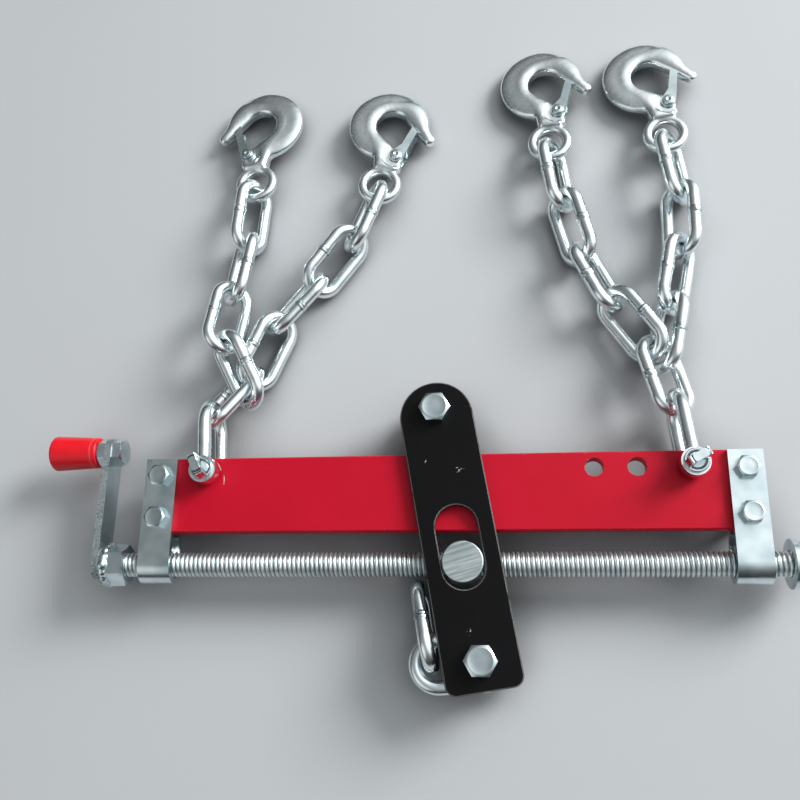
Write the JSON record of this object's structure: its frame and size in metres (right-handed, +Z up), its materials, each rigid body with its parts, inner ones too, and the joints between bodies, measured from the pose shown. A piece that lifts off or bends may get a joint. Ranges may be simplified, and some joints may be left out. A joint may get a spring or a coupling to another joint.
{
  "type": "engine load leveler",
  "caption": "Load bar with a crank-turned leveling screw, a sliding lift carriage, and shackled forked chains that end in latched hooks.",
  "frame": {"origin": "middle of the footprint on the floor that the leveler lies on", "axes": "+X along the bar away from the crank, +Y from the lifting links towards the hooks, +Z up"},
  "size_m": [0.5034, 0.4784, 0.065],
  "materials": {
    "bar_paint": "crimson powder coat, scratched",
    "plate_paint": "black paint worn at the edges",
    "plated_steel": "bright zinc plating",
    "plated_chain": "bright zinc plating on welded wire",
    "forged_hook": "zinc plating on a forged skin",
    "latch_steel": "zinc-plated sheet",
    "grip_plastic": "moulded red plastic"
  },
  "bodies": {
    "bar": {"load_bar": "bar_paint", "left_bracket": "plated_steel", "right_bracket": "plated_steel", "bracket_bolts": "plated_steel", "bracket_nuts": "plated_steel"},
    "crank": {"leveling_screw": "plated_steel", "crank_arm": "plated_steel", "crank_lock_nut": "plated_steel", "end_washer": "plated_steel", "end_nut": "plated_steel", "grip_bolt": "plated_steel", "grip_nut": "plated_steel", "grip_lock_nut": "plated_steel"},
    "grip": {"grip": "grip_plastic"},
    "trunnion": {"trunnion_nut": "plated_steel"},
    "carriage": {"front_plate": "plate_paint", "back_plate": "plate_paint", "bearing_bolt": "plated_steel", "bearing_nut": "plated_steel", "lift_bolt": "plated_steel", "lift_nut": "plated_steel", "lift_spacer": "plated_steel"},
    "roller": {"bearing_roller": "plated_steel"},
    "lift_link": {"lift_link": "plated_chain"},
    "hoist_link": {"hoist_link": "plated_chain"},
    "right_shackle": {"right_shackle": "plated_chain", "right_shackle_pin": "plated_chain"},
    "right_first_link": {"right_first_link": "plated_chain"},
    "right_inner_link_1": {"right_inner_link_1": "plated_chain"},
    "right_inner_link_2": {"right_inner_link_2": "plated_chain"},
    "right_inner_link_3": {"right_inner_link_3": "plated_chain"},
    "right_inner_link_4": {"right_inner_link_4": "plated_chain"},
    "right_inner_hook": {"right_inner_hook": "forged_hook", "right_inner_hook_rivet": "latch_steel"},
    "right_inner_hook_latch": {"right_inner_hook_latch": "latch_steel"},
    "right_outer_link_1": {"right_outer_link_1": "plated_chain"},
    "right_outer_link_2": {"right_outer_link_2": "plated_chain"},
    "right_outer_link_3": {"right_outer_link_3": "plated_chain"},
    "right_outer_link_4": {"right_outer_link_4": "plated_chain"},
    "right_outer_hook": {"right_outer_hook": "forged_hook", "right_outer_hook_rivet": "latch_steel"},
    "right_outer_hook_latch": {"right_outer_hook_latch": "latch_steel"},
    "left_shackle": {"left_shackle": "plated_chain", "left_shackle_pin": "plated_chain"},
    "left_first_link": {"left_first_link": "plated_chain"},
    "left_inner_link_1": {"left_inner_link_1": "plated_chain"},
    "left_inner_link_2": {"left_inner_link_2": "plated_chain"},
    "left_inner_link_3": {"left_inner_link_3": "plated_chain"},
    "left_inner_link_4": {"left_inner_link_4": "plated_chain"},
    "left_inner_hook": {"left_inner_hook": "forged_hook", "left_inner_hook_rivet": "latch_steel"},
    "left_inner_hook_latch": {"left_inner_hook_latch": "latch_steel"},
    "left_outer_link_1": {"left_outer_link_1": "plated_chain"},
    "left_outer_link_2": {"left_outer_link_2": "plated_chain"},
    "left_outer_link_3": {"left_outer_link_3": "plated_chain"},
    "left_outer_link_4": {"left_outer_link_4": "plated_chain"},
    "left_outer_hook": {"left_outer_hook": "forged_hook", "left_outer_hook_rivet": "latch_steel"},
    "left_outer_hook_latch": {"left_outer_hook_latch": "latch_steel"}
  },
  "joints": [
    {"name": "screw_turn", "type": "hinge", "parent": "bar", "child": "crank", "pos_m": [0.0214, -0.15935, 0.028], "axis": [1, 0, 0], "range_deg": [-7650, 8100]},
    {"name": "grip_spin", "type": "hinge", "parent": "crank", "child": "grip", "pos_m": [-0.2182, -0.08185, 0.028], "axis": [1, 0, 0], "continuous": true},
    {"name": "carriage_travel", "type": "slide", "parent": "bar", "child": "trunnion", "axis": [1, 0, 0], "range_m": [-0.09, 0.085]},
    {"name": "carriage_tilt", "type": "hinge", "parent": "trunnion", "child": "carriage", "pos_m": [0.0349, -0.15935, 0.028], "axis": [0, 0, 1], "range_deg": [-1, 22]},
    {"name": "roller_spin", "type": "hinge", "parent": "carriage", "child": "roller", "pos_m": [0.0174, -0.06008, 0.028], "axis": [0, 0, 1], "continuous": true},
    {"name": "lift_link_swing", "type": "hinge", "parent": "carriage", "child": "lift_link", "pos_m": [0.04532, -0.21844, 0.028], "axis": [0, 0, 1], "range_deg": [-0.5, 24]},
    {"name": "hoist_link_swing", "type": "hinge", "parent": "lift_link", "child": "hoist_link", "pos_m": [0.01181, -0.20796, 0.028], "axis": [-0.8829, -0.4695, 0], "range_deg": [-2, 20]},
    {"name": "right_shackle_swing", "type": "hinge", "parent": "bar", "child": "right_shackle", "pos_m": [0.1789, -0.09905, 0.028], "axis": [0, 0, 1], "range_deg": [-50, 6]},
    {"name": "right_first_link_swing", "type": "hinge", "parent": "right_shackle", "child": "right_first_link", "pos_m": [0.17287, -0.05062, 0.02546], "axis": [-0.0185, 0.1484, 0.9888], "range_deg": [-10, 8]},
    {"name": "right_inner_link_1_swing", "type": "hinge", "parent": "right_first_link", "child": "right_inner_link_1", "pos_m": [0.15957, -0.00974, 0.02199], "axis": [-0.7322, -0.461, 0.5013], "range_deg": [-12, 8]},
    {"name": "right_inner_link_2_swing", "type": "hinge", "parent": "right_inner_link_1", "child": "right_inner_link_2", "pos_m": [0.13583, 0.02682, 0.01833], "axis": [-0.6031, -0.4571, -0.6538], "range_deg": [-30, 3]},
    {"name": "right_inner_link_3_swing", "type": "hinge", "parent": "right_inner_link_2", "child": "right_inner_link_3", "pos_m": [0.11777, 0.06662, 0.01512], "axis": [-0.5821, -0.2005, 0.788], "range_deg": [-30, 30]},
    {"name": "right_inner_link_4_swing", "type": "hinge", "parent": "right_inner_link_3", "child": "right_inner_link_4", "pos_m": [0.10667, 0.10926, 0.01635], "axis": [-0.6145, -0.1376, -0.7768], "range_deg": [-30, 5]},
    {"name": "right_inner_hook_swing", "type": "hinge", "parent": "right_inner_link_4", "child": "right_inner_hook", "pos_m": [0.10048, 0.1527, 0.0149], "axis": [-0.5503, -0.0504, 0.8334], "range_deg": [-22, 10]},
    {"name": "right_inner_hook_latch_swing", "type": "hinge", "parent": "right_inner_hook", "child": "right_inner_hook_latch", "pos_m": [0.10761, 0.17994, 0.01335], "axis": [-0.0656, 0.0737, 0.9951], "range_deg": [0, 40], "stiffness_Nm_per_rad": 0.05, "springref_deg": -11.46},
    {"name": "right_outer_link_1_swing", "type": "hinge", "parent": "right_first_link", "child": "right_outer_link_1", "pos_m": [0.17049, -0.01656, 0.01801], "axis": [-0.858, 0.3716, 0.3547], "range_deg": [-5.5, 7]},
    {"name": "right_outer_link_2_swing", "type": "hinge", "parent": "right_outer_link_1", "child": "right_outer_link_2", "pos_m": [0.17944, 0.02447, 0.01794], "axis": [-0.5267, 0.1133, -0.8425], "range_deg": [-2, 30]},
    {"name": "right_outer_link_3_swing", "type": "hinge", "parent": "right_outer_link_2", "child": "right_outer_link_3", "pos_m": [0.18891, 0.06756, 0.01763], "axis": [-0.6396, 0.146, 0.7547], "range_deg": [-30, 30]},
    {"name": "right_outer_link_4_swing", "type": "hinge", "parent": "right_outer_link_3", "child": "right_outer_link_4", "pos_m": [0.19036, 0.11133, 0.0161], "axis": [-0.6447, -0.0053, -0.7645], "range_deg": [-4.5, 30]},
    {"name": "right_outer_hook_swing", "type": "hinge", "parent": "right_outer_link_4", "child": "right_outer_hook", "pos_m": [0.18474, 0.154, 0.01475], "axis": [-0.5763, -0.05, 0.8157], "range_deg": [-18, 9]},
    {"name": "right_outer_hook_latch_swing", "type": "hinge", "parent": "right_outer_hook", "child": "right_outer_hook_latch", "pos_m": [0.18846, 0.18177, 0.01318], "axis": [-0.069, 0.0656, 0.9955], "range_deg": [0, 40], "stiffness_Nm_per_rad": 0.05, "springref_deg": -11.46},
    {"name": "left_shackle_swing", "type": "hinge", "parent": "bar", "child": "left_shackle", "pos_m": [-0.1361, -0.09905, 0.028], "axis": [0, 0, 1], "range_deg": [-10, 45]},
    {"name": "left_first_link_swing", "type": "hinge", "parent": "left_shackle", "child": "left_first_link", "pos_m": [-0.13932, -0.05186, 0.0206], "axis": [-0.0296, 0.4342, 0.9003], "range_deg": [-3, 35]},
    {"name": "left_inner_link_1_swing", "type": "hinge", "parent": "left_first_link", "child": "left_inner_link_1", "pos_m": [-0.11368, -0.01963, 0.01467], "axis": [-0.5293, 0.4187, -0.7379], "range_deg": [-4, 30]},
    {"name": "left_inner_link_2_swing", "type": "hinge", "parent": "left_inner_link_1", "child": "left_inner_link_2", "pos_m": [-0.09669, 0.02021, 0.01444], "axis": [-0.6602, 0.2856, 0.6946], "range_deg": [-30, 30]},
    {"name": "left_inner_link_3_swing", "type": "hinge", "parent": "left_inner_link_2", "child": "left_inner_link_3", "pos_m": [-0.06902, 0.05127, 0.01532], "axis": [-0.4508, 0.4237, -0.7857], "range_deg": [-30, 30]},
    {"name": "left_inner_link_4_swing", "type": "hinge", "parent": "left_inner_link_3", "child": "left_inner_link_4", "pos_m": [-0.0433, 0.08628, 0.01494], "axis": [-0.5801, 0.4336, 0.6896], "range_deg": [-30, 6.5]},
    {"name": "left_inner_hook_swing", "type": "hinge", "parent": "left_inner_link_4", "child": "left_inner_hook", "pos_m": [-0.02767, 0.12536, 0.01508], "axis": [-0.4991, 0.2028, -0.8424], "range_deg": [-27, 8]},
    {"name": "left_inner_hook_latch_swing", "type": "hinge", "parent": "left_inner_hook", "child": "left_inner_hook_latch", "pos_m": [-0.01558, 0.14999, 0.0126], "axis": [0.0721, 0.0652, 0.9953], "range_deg": [0, 40], "stiffness_Nm_per_rad": 0.05, "springref_deg": -11.46},
    {"name": "left_outer_link_1_swing", "type": "hinge", "parent": "left_first_link", "child": "left_outer_link_1", "pos_m": [-0.11705, -0.03602, 0.0251], "axis": [0.5588, 0.8026, -0.2086], "range_deg": [-4, 30]},
    {"name": "left_outer_link_2_swing", "type": "hinge", "parent": "left_outer_link_1", "child": "left_outer_link_2", "pos_m": [-0.13529, 0.00107, 0.03091], "axis": [-0.6779, -0.2239, -0.7002], "range_deg": [-30, 18]},
    {"name": "left_outer_link_3_swing", "type": "hinge", "parent": "left_outer_link_2", "child": "left_outer_link_3", "pos_m": [-0.13262, 0.04363, 0.0198], "axis": [-0.6945, 0.2223, 0.6843], "range_deg": [-30, 30]},
    {"name": "left_outer_link_4_swing", "type": "hinge", "parent": "left_outer_link_3", "child": "left_outer_link_4", "pos_m": [-0.12689, 0.08715, 0.01611], "axis": [-0.6324, 0.0177, -0.7744], "range_deg": [-18, 18]},
    {"name": "left_outer_hook_swing", "type": "hinge", "parent": "left_outer_link_4", "child": "left_outer_hook", "pos_m": [-0.12381, 0.13109, 0.01519], "axis": [-0.5303, 0.0548, 0.846], "range_deg": [-23, 12]},
    {"name": "left_outer_hook_latch_swing", "type": "hinge", "parent": "left_outer_hook", "child": "left_outer_hook_latch", "pos_m": [-0.13212, 0.15882, 0.0126], "axis": [0.0648, -0.0734, -0.9952], "range_deg": [0, 40], "stiffness_Nm_per_rad": 0.05, "springref_deg": -11.46}
  ],
  "couplings": [
    {"joint": "carriage_travel", "follows": "screw_turn", "m_per_rad": -0.00063662}
  ]
}
